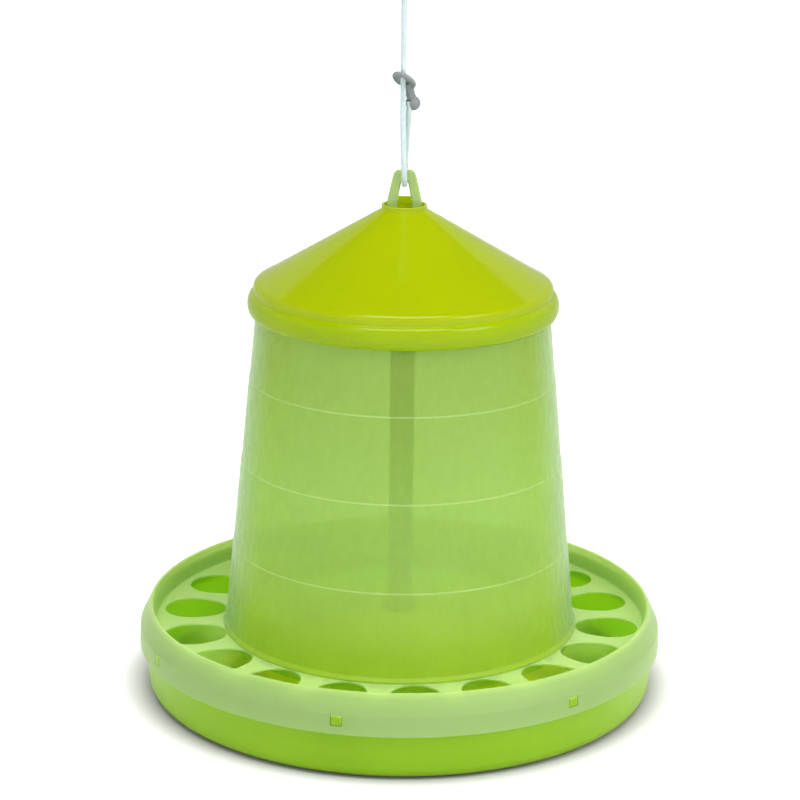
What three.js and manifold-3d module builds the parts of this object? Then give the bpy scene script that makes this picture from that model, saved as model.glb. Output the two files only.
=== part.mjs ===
// Gravity poultry feeder: a feed tray, a feeding grille, a hopper and a lid on one hanger rod, which hangs
// from a rope with a runner. Millimetres, +Z up, -Y is the front. The origin is under the tray's centre.
import * as THREE from 'three';
import { mergeVertices } from 'three/addons/utils/BufferGeometryUtils.js';
import Module from 'manifold-3d';

const wasm = await Module();
wasm.setup();

// ---- driving dimensions ----
const GAP = 0.3; // left between pieces that touch
const ROUND = 60; // segments round the large mouldings

const SKIRT_R = 190; // outside of the grille's skirt, the widest point
const SKIRT_BOTTOM = 33.9;
const SKIRT_LEDGE = 48; // where the skirt leans in towards the crest
const CREST_R = 181.3;
const CREST_Z = 62.4;
const GRILLE_TOP = 46.7; // top of the flat annulus
const GRILLE_WALL = 2.4;
const GRILLE_OUTER_R = 178.6; // foot of the inner wall
const SEAT_R = 126.4; // opening that the hopper's spigot stands in

const HOLE_COUNT = 18;
const HOLE_PHASE = 4.5; // degrees from the front towards +X
const HOLE_OUTER = { at: 154.0, r: 20.2 }; // each hole is the hull of two circles
const HOLE_INNER = { at: 146.6, r: 17.6 };

const LUG_COUNT = 7;
const LUG_PHASE = -12.6; // degrees from the front towards +X
const LUG = { width: 7.6, low: 40.2, high: 46.8, reach: 189.8 };
const LUG_ROOM = 0.9; // clearance round a lug in its window

const TRAY_WALL = 2.5;
const TRAY_RIM_Z = 52.3;
const TRAY_BASE_R = 173.5; // where the flat base meets the corner
const TRAY_CORNER = 10;
const CONE_TOP_Z = 55;
const CONE_TOP_R = 16;
const CONE_FOOT_R = 118;
const KEYHOLE_R = 8.2;
const KEYHOLE = { length: 25.2, width: 6.4 };

const HOPPER_WALL = 1.9;
const HOPPER_RIM_Z = 289.9;
const HOPPER_RIM_R = 106;
const HOPPER_STEPS = [[50.6, 127.1], [114.5, 121.2], [172.8, 115.4], [232.7, 109.4], [281, 104.3]];
const STEP = 0.5; // each band of the hopper is this much wider than the one above
const SPIGOT_Z = 38.5;

const LID_EDGE_Z = 277.5;
const LID_LIP_R = 106.6;
const BEAD = { r: 106.3, z: 284.6, bulge: 4.1, half: 7.1 };
const COLLAR_R = 16;
const COLLAR_HOLE_R = 14.2;
const COLLAR_Z = 356;
const TAB = { width: 9.2, depth: 2, low: 353.4, high: 358.6, y: 14.7 }; // behind the handle

const ROD_HALF = 9.7; // half the width of the cross-shaped rod
const ROD_RIB = 2.6;
const FLANGE = { r: 12.5, low: CONE_TOP_Z + GAP, high: 58.5 };
const NECK_R = 7.6;
const FOOT = { half: 11.8, width: 5, low: 47.6, high: 52 };
const HANDLE = { thick: 4.4, bevel: 1.1, base: 12.4, low: 332.9, top: 380.2, eye: 372.4 };
const ROD_TOP_Z = HANDLE.low - GAP;

const ROPE_D = 4;
const ROPE_SIDES = 8;
const BEND_R = 8; // the rope's bend under the handle's crown
const STRAND = [-1.7, -2]; // the long strand's place in plan
const TOP_KNOT = { z: 509, r: 6, half: 7.5 };
const RUNNER = {
  disc: [-1.2, -1, 443], discR: 8.1, discThick: 3.6, discAxis: [-0.44, -0.5, -0.745],
  bulb: [5.2, 4.2, 426.4], bulbR: 5.2, neckR: 3.5, bore: 4.8,
};

// ---- helpers ----
const toRad = THREE.MathUtils.degToRad;

// A closed, outward-facing geometry with shared vertices and position only.
function clean(geometry) {
  const bare = geometry.clone();
  for (const name of Object.keys(bare.attributes)) if (name !== 'position') bare.deleteAttribute(name);
  const merged = mergeVertices(bare, 1e-4);
  const p = merged.attributes.position;
  const tris = [];
  let volume = 0;
  const [a, b, c] = [new THREE.Vector3(), new THREE.Vector3(), new THREE.Vector3()];
  for (let i = 0; i < merged.index.count; i += 3) {
    const t = [merged.index.getX(i), merged.index.getX(i + 1), merged.index.getX(i + 2)];
    if (t[0] === t[1] || t[1] === t[2] || t[2] === t[0]) continue;
    a.fromBufferAttribute(p, t[0]);
    b.fromBufferAttribute(p, t[1]);
    c.fromBufferAttribute(p, t[2]);
    volume += a.dot(b.cross(c));
    tris.push(t);
  }
  if (volume < 0) tris.forEach((t) => t.reverse());
  merged.setIndex(tris.flat());
  return merged;
}

function solid(geometry) {
  const g = clean(geometry);
  const vertProperties = new Float32Array(g.attributes.position.array);
  const triVerts = new Uint32Array(g.index.array);
  return new wasm.Manifold(new wasm.Mesh({ numProp: 3, vertProperties, triVerts }));
}

function geometryOf(manifold) {
  const mesh = manifold.getMesh();
  const g = new THREE.BufferGeometry();
  g.setAttribute('position', new THREE.BufferAttribute(new Float32Array(mesh.vertProperties), 3));
  g.setIndex(Array.from(mesh.triVerts));
  return g;
}

// A body of revolution about Z from a closed list of [radius, height].
function revolve(profile, segments = ROUND) {
  const points = [...profile, profile[0]].map(([r, z]) => new THREE.Vector2(r, z));
  return new THREE.LatheGeometry(points, segments).rotateX(Math.PI / 2);
}

// An arc of [radius, height] points, angles in degrees.
function arc(r, z, radius, from, to, steps, radiusZ = radius) {
  return Array.from({ length: steps + 1 }, (_, i) => {
    const a = toRad(from + ((to - from) * i) / steps);
    return [r + radius * Math.cos(a), z + radiusZ * Math.sin(a)];
  });
}

function box(x, y, z, at) {
  return new THREE.BoxGeometry(x, y, z).translate(...at);
}

function cylinder(r, low, high, segments = 32, x = 0, y = 0) {
  return new THREE.CylinderGeometry(r, r, high - low, segments).rotateX(Math.PI / 2)
    .translate(x, y, (low + high) / 2);
}

// Turns something made on the front (-Y) side to an angle counted from the front towards +X.
function turned(geometry, degrees) {
  return geometry.rotateZ(toRad(degrees));
}

// A rope's tube along a smooth curve through points.
function tube(points, steps) {
  const curve = new THREE.CatmullRomCurve3(points.map((p) => new THREE.Vector3(...p)), false, 'centripetal');
  const section = new THREE.Shape();
  for (let i = 0; i < ROPE_SIDES; i++) {
    const a = (2 * Math.PI * i) / ROPE_SIDES;
    const [x, y] = [(ROPE_D / 2) * Math.cos(a), (ROPE_D / 2) * Math.sin(a)];
    if (i === 0) section.moveTo(x, y);
    else section.lineTo(x, y);
  }
  section.closePath();
  return new THREE.ExtrudeGeometry(section, { steps, extrudePath: curve, bevelEnabled: false });
}

function mesh(name, geometry, colour, roughness, opacity = 1) {
  const material = new THREE.MeshStandardMaterial({
    color: colour, roughness, metalness: 0, opacity, transparent: opacity < 1,
  });
  const m = new THREE.Mesh(clean(geometry), material);
  m.name = name;
  return m;
}

// ---- feed tray: trough, central cone with the rod's keyhole, snap lugs ----
function feedTray() {
  const inner = TRAY_CORNER - TRAY_WALL;
  const profile = [
    [KEYHOLE_R - 4, CONE_TOP_Z],
    [CONE_TOP_R, CONE_TOP_Z],
    [CONE_FOOT_R, 5.2],
    [CONE_FOOT_R + 5, 3.2],
    [CONE_FOOT_R + 11, TRAY_WALL],
    ...arc(TRAY_BASE_R, TRAY_CORNER, inner, -90, 0, 4),
    [183.3, 34],
    [181.9, TRAY_RIM_Z - 1],
    [182.4, TRAY_RIM_Z],
    [183.7, TRAY_RIM_Z],
    [184.2, TRAY_RIM_Z - 1],
    [185.8, 34],
    ...arc(TRAY_BASE_R, TRAY_CORNER, TRAY_CORNER, 0, -90, 5),
    [CONE_FOOT_R + 9, 0],
    [CONE_FOOT_R + 4, 0.6],
    [CONE_FOOT_R - 2, 2.9],
    [CONE_TOP_R - 1, CONE_TOP_Z - TRAY_WALL],
    [KEYHOLE_R - 4, CONE_TOP_Z - TRAY_WALL],
  ];
  let tray = solid(revolve(profile));
  const [low, high] = [LUG.low, LUG.high];
  for (let i = 0; i < LUG_COUNT; i++) {
    const depth = LUG.reach - 184;
    const lug = box(LUG.width, depth, high - low, [0, -(184 + depth / 2), (low + high) / 2]);
    tray = tray.add(solid(turned(lug, LUG_PHASE + (360 / LUG_COUNT) * i)));
  }
  tray = tray.subtract(solid(cylinder(KEYHOLE_R, CONE_TOP_Z - 8, CONE_TOP_Z + 4)));
  tray = tray.subtract(solid(box(KEYHOLE.length, KEYHOLE.width, 12, [0, 0, CONE_TOP_Z - 2])));
  return mesh('feed_tray', geometryOf(tray), 0x84bd2c, 0.35);
}

// ---- feeding grille: annulus with head holes, inner wall, crest and skirt with lug windows ----
function holeCutter() {
  const [outer, inner] = [HOLE_OUTER, HOLE_INNER];
  const tangent = (Math.acos((inner.r - outer.r) / (outer.at - inner.at)) * 180) / Math.PI;
  const outline = [
    ...arc(outer.at, 0, outer.r, -tangent, tangent, 10),
    ...arc(inner.at, 0, inner.r, tangent, 360 - tangent, 6),
  ];
  const shape = new THREE.Shape(outline.map(([r, side]) => new THREE.Vector2(side, -r)));
  return new THREE.ExtrudeGeometry(shape, { depth: 12, bevelEnabled: false }).translate(0, 0, GRILLE_TOP - 8);
}

function feedGrille() {
  const under = GRILLE_TOP - GRILLE_WALL;
  const profile = [
    [SEAT_R, under],
    [GRILLE_OUTER_R + 2.2, under],
    [182.1, 57.2],
    [187.0, 47.6],
    [SKIRT_R - 2.2, SKIRT_BOTTOM],
    [SKIRT_R, SKIRT_BOTTOM],
    [SKIRT_R - 0.7, SKIRT_LEDGE],
    [CREST_R + 1.1, CREST_Z - 0.9],
    [CREST_R + 0.4, CREST_Z],
    [CREST_R - 0.6, CREST_Z],
    [CREST_R - 1.2, CREST_Z - 0.9],
    [GRILLE_OUTER_R, GRILLE_TOP + 1.2],
    [GRILLE_OUTER_R - 1.2, GRILLE_TOP],
    [SEAT_R, GRILLE_TOP],
  ];
  let grille = solid(revolve(profile));
  for (let i = 0; i < HOLE_COUNT; i++) {
    grille = grille.subtract(solid(turned(holeCutter(), HOLE_PHASE + (360 / HOLE_COUNT) * i)));
  }
  const [low, high] = [LUG.low - LUG_ROOM, LUG.high + LUG_ROOM];
  for (let i = 0; i < LUG_COUNT; i++) {
    const window = box(LUG.width + 2 * LUG_ROOM, 8, high - low, [0, -(SKIRT_R - 0.5), (low + high) / 2]);
    grille = grille.subtract(solid(turned(window, LUG_PHASE + (360 / LUG_COUNT) * i)));
  }
  return mesh('feed_grille', geometryOf(grille), 0xa6d06e, 0.4, 0.8);
}

// ---- hopper: tapered tube in four bands, rim flange, foot bead and spigot ----
function hopper() {
  const outside = [];
  HOPPER_STEPS.forEach(([z, r], i) => {
    outside.push([r, z]);
    if (i > 0 && i < HOPPER_STEPS.length - 1) outside.push([r - STEP, z + 0.5]);
  });
  const inside = HOPPER_STEPS.map(([z, r]) => [r - HOPPER_WALL - STEP / 2, z]).reverse();
  const profile = [
    [125.9, SPIGOT_Z],
    [125.9, GRILLE_TOP + GAP],
    [129.2, GRILLE_TOP + GAP],
    [129.2, GRILLE_TOP + 1.2],
    ...outside,
    [HOPPER_RIM_R, 282.6],
    [HOPPER_RIM_R, HOPPER_RIM_Z],
    [HOPPER_RIM_R - 3.8, HOPPER_RIM_Z],
    ...inside,
    [123.8, SPIGOT_Z],
  ];
  return mesh('hopper', revolve(profile), 0xa4cb7c, 0.35, 0.55);
}

// ---- lid: cone with a collar that slides over the handle, bead that caps the hopper's rim ----
function lid() {
  const profile = [
    [LID_LIP_R, LID_EDGE_Z],
    ...arc(BEAD.r, BEAD.z, BEAD.bulge, -78, 78, 8, BEAD.half),
    [106.3, 294.6],
    [105.3, 298],
    [102.4, 301.4],
    [97.5, 304.2],
    [17.4, 351.6],
    [COLLAR_R + 0.1, 352.2],
    [COLLAR_R, COLLAR_Z - 1],
    [COLLAR_R - 1, COLLAR_Z],
    [COLLAR_HOLE_R + 0.8, COLLAR_Z],
    [COLLAR_HOLE_R, COLLAR_Z - 0.8],
    [COLLAR_HOLE_R, 350.6],
    [96.8, 301.9],
    [101.2, 299.2],
    [103.7, 296],
    [104.4, 291.6],
    [108.2, 288.8],
    [108.2, 282],
    [LID_LIP_R, 279.6],
  ];
  const tab = box(TAB.width, TAB.depth, TAB.high - TAB.low, [0, TAB.y, (TAB.low + TAB.high) / 2]);
  return mesh('lid', geometryOf(solid(revolve(profile)).add(solid(tab))), 0xb0cc00, 0.22);
}

// ---- hanger: loop handle on top of the cross-shaped rod with its flange and quarter-turn foot ----
function handlePlate() {
  const { thick, bevel, base, low, top, eye } = HANDLE;
  const right = [[ROD_HALF - bevel, low + bevel], [base - bevel, 341], [base - bevel, 357], [7.9 - bevel, 373.4]];
  const crown = arc(0, top - 6.6, 6.9 - bevel, 12, 168, 8, 6.6 - bevel);
  const left = right.map(([x, z]) => [-x, z]).reverse();
  const shape = new THREE.Shape([...right, ...crown, ...left].map(([x, z]) => new THREE.Vector2(x, z)));
  const grow = bevel; // the bevel narrows the eye again
  const eyeArc = arc(0, eye - 2.5, 2.5 + grow, 180, 0, 6);
  const opening = [[5.1 + grow, 357], [5.1 + grow, 350 - grow], [-5.1 - grow, 350 - grow], [-5.1 - grow, 357]];
  shape.holes.push(new THREE.Path([...opening, ...eyeArc].map(([x, z]) => new THREE.Vector2(x, z))));
  const plate = new THREE.ExtrudeGeometry(shape, {
    depth: thick - 2 * bevel, bevelEnabled: true, bevelThickness: bevel, bevelSize: bevel, bevelSegments: 1,
  });
  return plate.rotateX(Math.PI / 2).translate(0, thick / 2 - bevel, 0);
}

function hangerRod() {
  const low = FLANGE.high - 1;
  const length = ROD_TOP_Z - low;
  const mid = (ROD_TOP_Z + low) / 2;
  let rod = solid(box(2 * ROD_HALF, ROD_RIB, length, [0, 0, mid]));
  rod = rod.add(solid(box(ROD_RIB, 2 * ROD_HALF, length, [0, 0, mid])));
  rod = rod.add(solid(cylinder(FLANGE.r, FLANGE.low, FLANGE.high)));
  rod = rod.add(solid(cylinder(NECK_R, FOOT.low, FLANGE.low + 1)));
  rod = rod.add(solid(box(FOOT.width, 2 * FOOT.half, FOOT.high - FOOT.low, [0, 0, (FOOT.low + FOOT.high) / 2])));
  return mesh('hanger_rod', geometryOf(rod), 0xb0d280, 0.4, 0.85);
}

// ---- rope: long strand round the crown, tail to the runner, top loop and knots ----
function ropeMain() {
  const z = HANDLE.eye - 2 * GAP - ROPE_D / 2 + BEND_R; // centre of the bend
  const bend = Array.from({ length: 7 }, (_, i) => {
    const a = toRad(-30 * i);
    return [0.2 - 0.1 * i, BEND_R * Math.cos(a), z + BEND_R * Math.sin(a)];
  });
  const [x, y] = STRAND;
  return tube([
    [0.4, 7.9, 384],
    ...bend,
    [-0.6, -7.9, 384],
    [-0.9, -6.9, 391],
    [-1.3, -5.1, 401],
    [-1.6, -3.2, 411],
    [x, -2.2, 419],
    [x, y, 425],
    [x, y, 450],
    [x, y, 475],
    [x, y, TOP_KNOT.z - TOP_KNOT.half - GAP],
  ], 26);
}

function ropeTail() {
  return tube([
    [0.4, 7.85, 384.3],
    [0.6, 7.4, 391],
    [1.1, 6.2, 400],
    [1.7, 4.4, 409],
    [2.2, 2.6, 417],
    [2.5, 1.9, 422],
    [2.5, 1.9, 428.2],
  ], 10);
}

function ropeLoop() {
  const [x, y] = STRAND;
  const foot = TOP_KNOT.z + TOP_KNOT.half + GAP;
  const side = [[2.3, foot], [3.2, foot + 5], [6.8, foot + 13], [10.6, foot + 23]];
  const crown = arc(0, foot + 31, 11.5, 0, 180, 6);
  const path = [...side, ...crown, ...side.map(([r, z]) => [-r, z]).reverse()];
  return tube(path.map(([r, z]) => [x + r, y, z]), 24);
}

function knot(x, y, z, r, half) {
  const profile = arc(0, 0, r, -90, 90, 8, half).map(([a, b]) => new THREE.Vector2(Math.max(a, 0), b));
  return new THREE.LatheGeometry(profile, 14).rotateX(Math.PI / 2).translate(x, y, z);
}

// ---- runner: a tilted disc, a neck and a bulb, bored for the two strands ----
function between(from, to, rFrom, rTo, segments) {
  const a = new THREE.Vector3(...from);
  const b = new THREE.Vector3(...to);
  const g = new THREE.CylinderGeometry(rTo, rFrom, a.distanceTo(b), segments);
  const turn = new THREE.Quaternion().setFromUnitVectors(
    new THREE.Vector3(0, 1, 0), b.clone().sub(a).normalize());
  const middle = a.add(b).multiplyScalar(0.5);
  return g.applyQuaternion(turn).translate(middle.x, middle.y, middle.z);
}

function runner() {
  const { disc, discR, discThick, discAxis, bulb, bulbR, neckR, bore } = RUNNER;
  const axis = new THREE.Vector3(...discAxis).normalize();
  const t = discThick / 2;
  const edge = arc(discR - t, 0, t, -90, 90, 4).map(([r, z]) => new THREE.Vector2(r, z));
  const rim = [new THREE.Vector2(0, -t), ...edge, new THREE.Vector2(0, t)];
  const upright = new THREE.Vector3(0, 1, 0);
  const plate = new THREE.LatheGeometry(rim, 28)
    .applyQuaternion(new THREE.Quaternion().setFromUnitVectors(upright, axis))
    .translate(...disc);
  let body = solid(plate).add(solid(new THREE.SphereGeometry(bulbR, 20, 12).translate(...bulb)));
  body = body.add(solid(between([0.9, 1, 441], [bulb[0], bulb[1], bulb[2] + 1], neckR, neckR, 16)));
  body = body.subtract(solid(cylinder(bore / 2, 415, 460, 16, ...STRAND)));
  body = body.subtract(solid(cylinder(bore / 2, 415, 428.6, 16, 2.5, 1.9)));
  return geometryOf(body);
}

// ---- assembly ----
const feeder = new THREE.Group();
const hanger = new THREE.Group();
feeder.add(feedTray(), feedGrille(), hopper(), lid(), hanger);
const rope = (name, geometry) => mesh(name, geometry, 0xeef3f3, 0.8);
hanger.add(
  hangerRod(),
  mesh('hanger_handle', geometryOf(solid(handlePlate())), 0xb0d280, 0.4, 0.85),
  rope('rope', ropeMain()),
  rope('rope_tail', ropeTail()),
  rope('rope_loop', ropeLoop()),
  rope('rope_top_knot', knot(...STRAND, TOP_KNOT.z, TOP_KNOT.r, TOP_KNOT.half)),
  rope('rope_end_knot', knot(RUNNER.bulb[0] - 0.6, RUNNER.bulb[1] + 4.6, 435.4, 2.9, 3.4)),
  mesh('rope_runner', runner(), 0x8f8b8a, 0.5),
);
export default feeder;
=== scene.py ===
"""Looks of the gravity poultry feeder, built round the frame.

The order is sizes, camera, materials, cord, runner, tray, grille, hopper, lid and rod, then the studio.
Shapes are in millimetres and turned into metres by MM. The camera, the floor and the lights are in metres.
The front is -Y, and angles in plan count from the front towards +X.
"""

import math

import bmesh
import bpy
import numpy as np
from mathutils import Matrix, Vector
from mathutils.geometry import delaunay_2d_cdt


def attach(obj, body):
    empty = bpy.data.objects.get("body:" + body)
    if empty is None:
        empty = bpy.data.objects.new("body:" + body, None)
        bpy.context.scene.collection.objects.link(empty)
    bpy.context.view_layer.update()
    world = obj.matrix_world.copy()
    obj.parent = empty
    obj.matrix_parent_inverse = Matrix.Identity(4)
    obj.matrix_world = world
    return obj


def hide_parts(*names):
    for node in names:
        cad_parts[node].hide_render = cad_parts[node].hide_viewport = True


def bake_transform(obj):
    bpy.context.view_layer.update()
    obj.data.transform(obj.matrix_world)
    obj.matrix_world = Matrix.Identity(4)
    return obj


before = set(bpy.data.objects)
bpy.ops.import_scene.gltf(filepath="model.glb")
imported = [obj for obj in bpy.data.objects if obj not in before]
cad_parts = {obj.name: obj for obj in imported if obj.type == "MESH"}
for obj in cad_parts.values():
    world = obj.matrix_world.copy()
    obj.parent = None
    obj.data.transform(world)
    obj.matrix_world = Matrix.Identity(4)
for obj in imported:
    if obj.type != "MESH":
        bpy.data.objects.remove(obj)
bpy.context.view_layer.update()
scene = bpy.context.scene
MM = 0.001

# ---- driving dimensions ----
LARGE, SMALL = 240, 48  # segments round the large mouldings and round the small turned pieces

CORD_D = 4.0
STRAND, SHORT_STRAND = (-1.7, -2.0), (2.5, 1.9)  # where the two strands go through the runner, in plan
EYE_Z = 372.4  # the crown's underside in the handle
BEND_R = 8.0
KNOT_Z, KNOT_R, KNOT_HALF = 509.0, 6.0, 7.5
LOOP_FOOT = KNOT_Z + KNOT_HALF + 0.3
LOOP_R = 11.5
END_KNOT_AT, END_KNOT_R, END_KNOT_HALF = (3.2, 8.8, 434.6), 3.3, 3.4
SPACING = 0.35  # between the points of a cord's line
STRANDS, SLANT = 4, 0.42  # each way round in the braid, and how far they turn, in radians per millimetre
SUNK, RISE = 0.17, 0.2  # how deep the gaps between the strands lie, and how far the strands stand over them
END_SHARE, END_LENGTH = 0.72, 0.9  # a cord's end has this share of its radius, and grows over this length

DISC_AT, DISC_LEAN = Vector((-1.2, -1, 443)), Vector((-0.44, -0.5, -0.745))  # the runner's disc
DISC_R, DISC_HALF = 7.3, 1.8  # to the centre of its round edge, and that edge's radius
NECK_AT, BULB_AT = Vector((0.9, 1, 441)), Vector((5.2, 4.2, 426.4))
BULB_R, BORE_R = 5.2, 2.4
BORE_LOW, BORE_TOP, SHORT_BORE_TOP = 415, 460, 429  # the short strand's bore ends inside the runner

TRAY_WALL, TRAY_FLOOR_R, TRAY_R = 2.5, 180.7, 183.3  # the trough's and the base's corner before rounding
TRAY_SIDE, TRAY_RIM, TRAY_RIM_R = 34, 52.3, 181.9  # the side leans in from the first height to its rim
CONE_TOP, CONE_TOP_R, CONE_FOOT_R = 55, 16, 123.5
KEYHOLE_R, KEYHOLE_REACH, KEYHOLE_HALF = 8.2, 12.6, 3.2  # the round middle and the slot across it
LUG_COUNT, LUG_PHASE = 7, -12.6
LUG_LOW, LUG_HIGH, LUG_REACH, LUG_WIDTH = 40.2, 46.8, 189.8, 7.6
LUG_ROOM = 0.3  # round a lug in its window

HOLES, HOLE_PHASE = 18, 4.5
FAR, FAR_R, NEAR, NEAR_R = 154.0, 20.2, 146.6, 17.6  # the two circles that a head hole goes round
HOLE_EDGE = 0.7  # how far the hole's edge is rounded
ANNULUS_TOP, ANNULUS_UNDER = 46.7, 44.9  # the two faces of the flat that the holes are in
SEAT_R, ANNULUS_R = 126.4, 176.6
CREST_R, CREST_Z = 181.3, 62.4
SKIRT_R, SKIRT_BOTTOM, SKIRT_LEDGE = 190, 33.9, 48

# Where the hopper's bands start and end, as (z, r). All but the first and the last are its steps.
BANDS = [(50.6, 127.1), (109.6, 121.7), (171.4, 115.5), (231.5, 109.5), (281, 104.3)]
STEP = 0.5  # each band is this much narrower at its foot than the one below at its top
HOPPER_WALL = 1.9
SPIGOT_R, SPIGOT_FOOT = 125.9, 38.5  # the part that stands in the grille
SPIGOT_FLANGE_R, SPIGOT_FLANGE = 129.2, 47  # the thin flange that rests on the grille
RIM_R, MOUTH_R, RIM_LOW, RIM_TOP = 106, 102.2, 282.6, 289.9

LID_EDGE_R, LID_EDGE = 106.6, 277.5
BEAD_R, BEAD_Z, BEAD_OUT, BEAD_HALF = 106.3, 285.2, 4.1, 7.9  # its middle, its bulge and half its height
BEAD_TOP = 293.4
GROOVE_R, GROOVE_LOW, GROOVE_TOP = 108.2, 282, 288.8  # inside the bead, round the hopper's rim
OVER_RIM_R, OVER_RIM = 104.4, 291.6  # the inner corner over the hopper's rim
SHOULDER_R, SHOULDER, CONE_EDGE_R, CONE_EDGE = 106.2, 299.6, 97.5, 304.2
COLLAR_R, COLLAR_HOLE_R, COLLAR_FOOT, COLLAR_TOP = 16, 14.2, 351.8, 356
TAB_HALF, TAB_LOW, TAB_TOP = 4.6, 353.4, 358.6  # the small tab behind the handle

ROD_HALF, ROD_RIB, ROD_FOOT, ROD_TOP = 8.7, 1.3, 57.5, 341  # half the rod's width and half a rib's thickness
FLANGE_R, FLANGE_LOW, FLANGE_TOP = 12.5, 55.3, 58.5
NECK_R, NECK_LOW = 7.6, 48.5
FOOT_REACH, FOOT_HALF, FOOT_LOW, FOOT_TOP = 11.8, 2.5, 47.6, 52
HANDLE_THICK, HANDLE_EDGE = 4.4, 1.3  # its thickness, and the radius that its edges are rounded by
HANDLE_HALF, HANDLE_BEND = 12.4, 357  # half its width, and the height where it starts to taper
CROWN_HALF, CROWN_LOW, CROWN_TOP_HALF, CROWN_TOP = 8.7, 373.4, 6.9, 380.2
EYE_HALF, EYE_LOW, EYE_TOP_HALF = 5.1, 350, 2.3

# Where one painted light or shade turns into the next, and where the hopper turns clearer: radii on the tray
# and the grille, and heights on the others.
CONE_FADE, BAND_FADE = (100, 140), (181.5, 184)
FOOT_FADE, MOUTH_FADE, CLEAR_FADE = (50, 130), (170, 250), (60, 200)
BEAD_FADE, HANDLE_FADE = (290, 296), (334, 350)
STEP_HIGHLIGHT_FADE, STEP_HIGHLIGHT = (0.2, 0.7), 0.6  # how far from the edge of a step of the hopper its painted highlight fades out, and how strong that painted highlight is

# ---- camera, fitted to the circles of the feeder in the photograph ----
PITCH, ROLL = math.radians(15.974), math.radians(0.666)
ASIDE = -0.00085  # how far the view turns to the side
camera = bpy.data.objects.new("camera", bpy.data.cameras.new("camera"))
camera.data.sensor_width = 36
camera.data.lens = 110.03
camera.data.clip_start, camera.data.clip_end = 0.05, 60
forward = Vector((ASIDE, math.cos(PITCH), -math.sin(PITCH))).normalized()
side = forward.cross(Vector((0, 0, 1))).normalized()
rise = side.cross(forward)
right = math.cos(ROLL) * side + math.sin(ROLL) * rise
up = right.cross(forward)
camera.matrix_world = Matrix((right, up, -forward)).transposed().to_4x4()
camera.location = (0, -1.6866, 0.6956)
scene.collection.objects.link(camera)
scene.camera = camera
scene.view_settings.view_transform = "Standard"

# ---- mesh helpers ----
WELD = 1e-7  # metres: points closer than this are one point
STRAIGHT = math.radians(179.5)  # a corner more open than this isn't rounded
SIDE_SHARE = 0.49  # how much of a side one corner's arc may take


def arc(r, z, radius, start, end, steps, radius_z=None):
    """Points on an arc, angles in degrees."""
    tall = radius if radius_z is None else radius_z
    angles = [math.radians(start + (end - start) * i / steps) for i in range(steps + 1)]
    return [(r + radius * math.cos(a), z + tall * math.sin(a)) for a in angles]


def rounded(corners, steps=5):
    """A closed outline from (x, y, radius) corners, each rounded by an arc that touches both its sides."""
    outline = []
    for i, (x, y, radius) in enumerate(corners):
        here = Vector((x, y))
        before = Vector(corners[i - 1][:2]) - here
        after = Vector(corners[(i + 1) % len(corners)][:2]) - here
        opening = before.angle(after)
        if radius <= 0 or opening > STRAIGHT:
            outline.append((x, y))
            continue
        reach = min(radius / math.tan(opening / 2), SIDE_SHARE * before.length, SIDE_SHARE * after.length)
        radius = reach * math.tan(opening / 2)
        start, end = here + before.normalized() * reach, here + after.normalized() * reach
        inward = (before.normalized() + after.normalized()).normalized()
        centre = here + inward * radius / math.sin(opening / 2)
        spoke = start - centre
        swing = math.copysign(math.pi - opening, spoke.cross(end - centre))
        outline += [tuple(centre + Matrix.Rotation(swing * k / steps, 2) @ spoke) for k in range(steps + 1)]
    return outline


def made(name, points, faces):
    """A smooth object from points in millimetres, with its faces pointing out."""
    mesh = bpy.data.meshes.new(name)
    mesh.from_pydata([Vector(p) * MM for p in points], [], faces)
    work = bmesh.new()
    work.from_mesh(mesh)
    bmesh.ops.remove_doubles(work, verts=work.verts, dist=WELD)
    bmesh.ops.recalc_face_normals(work, faces=work.faces)
    work.to_mesh(mesh)
    work.free()
    piece = bpy.data.objects.new(name, mesh)
    scene.collection.objects.link(piece)
    return piece


def sweep(points, faces, profile, segments=LARGE, closed=False):
    """Adds a list of (radius, height), swept about Z, to points and faces.

    Gives the circles that its first and last points make, as indices into points.
    """
    start, n = len(points), len(profile)
    for s in range(segments):
        a = 2 * math.pi * s / segments
        points.extend((r * math.sin(a), -r * math.cos(a), z) for r, z in profile)
    for s in range(segments):
        here, there = start + s * n, start + (s + 1) % segments * n
        for k in range(n if closed else n - 1):
            m = (k + 1) % n
            faces.append((here + k, there + k, there + m, here + m))
    return [start + s * n for s in range(segments)], [start + s * n + n - 1 for s in range(segments)]


def lathe(name, profile, segments=LARGE):
    """A body of revolution about Z from a closed list of (radius, height)."""
    points, faces = [], []
    sweep(points, faces, profile, segments, closed=True)
    return made(name, points, faces)


def prism(name, outline, low, high, bevel=0.0):
    """An upright prism on a flat outline, with its top and bottom edges rounded by bevel."""
    n = len(outline)
    points = [(x, y, low) for x, y in outline] + [(x, y, high) for x, y in outline]
    faces = [tuple(range(n))[::-1], tuple(range(n, 2 * n))]
    faces += [(k, (k + 1) % n, n + (k + 1) % n, n + k) for k in range(n)]
    piece = made(name, points, faces)
    if bevel:
        work = bmesh.new()
        work.from_mesh(piece.data)
        rims = [e for e in work.edges if abs(e.verts[0].co.z - e.verts[1].co.z) < WELD]
        bmesh.ops.bevel(work, geom=rims, offset=bevel * MM, segments=3, profile=0.5, affect="EDGES")
        work.to_mesh(piece.data)
        work.free()
    return piece


def shown_mesh(piece):
    """A new mesh of a piece as it shows, with its modifiers or its curve's bevel."""
    return bpy.data.meshes.new_from_object(piece.evaluated_get(bpy.context.evaluated_depsgraph_get()))


def final_mesh(piece):
    """Applies the piece's modifiers."""
    mesh = shown_mesh(piece)
    piece.modifiers.clear()
    piece.data = mesh


def combine(piece, tool, operation):
    """Joins tool to piece, or cuts it out, and removes tool."""
    step = piece.modifiers.new("combine", "BOOLEAN")
    step.operation, step.object, step.solver = operation, tool, "EXACT"
    final_mesh(piece)
    bpy.data.objects.remove(tool)


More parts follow.
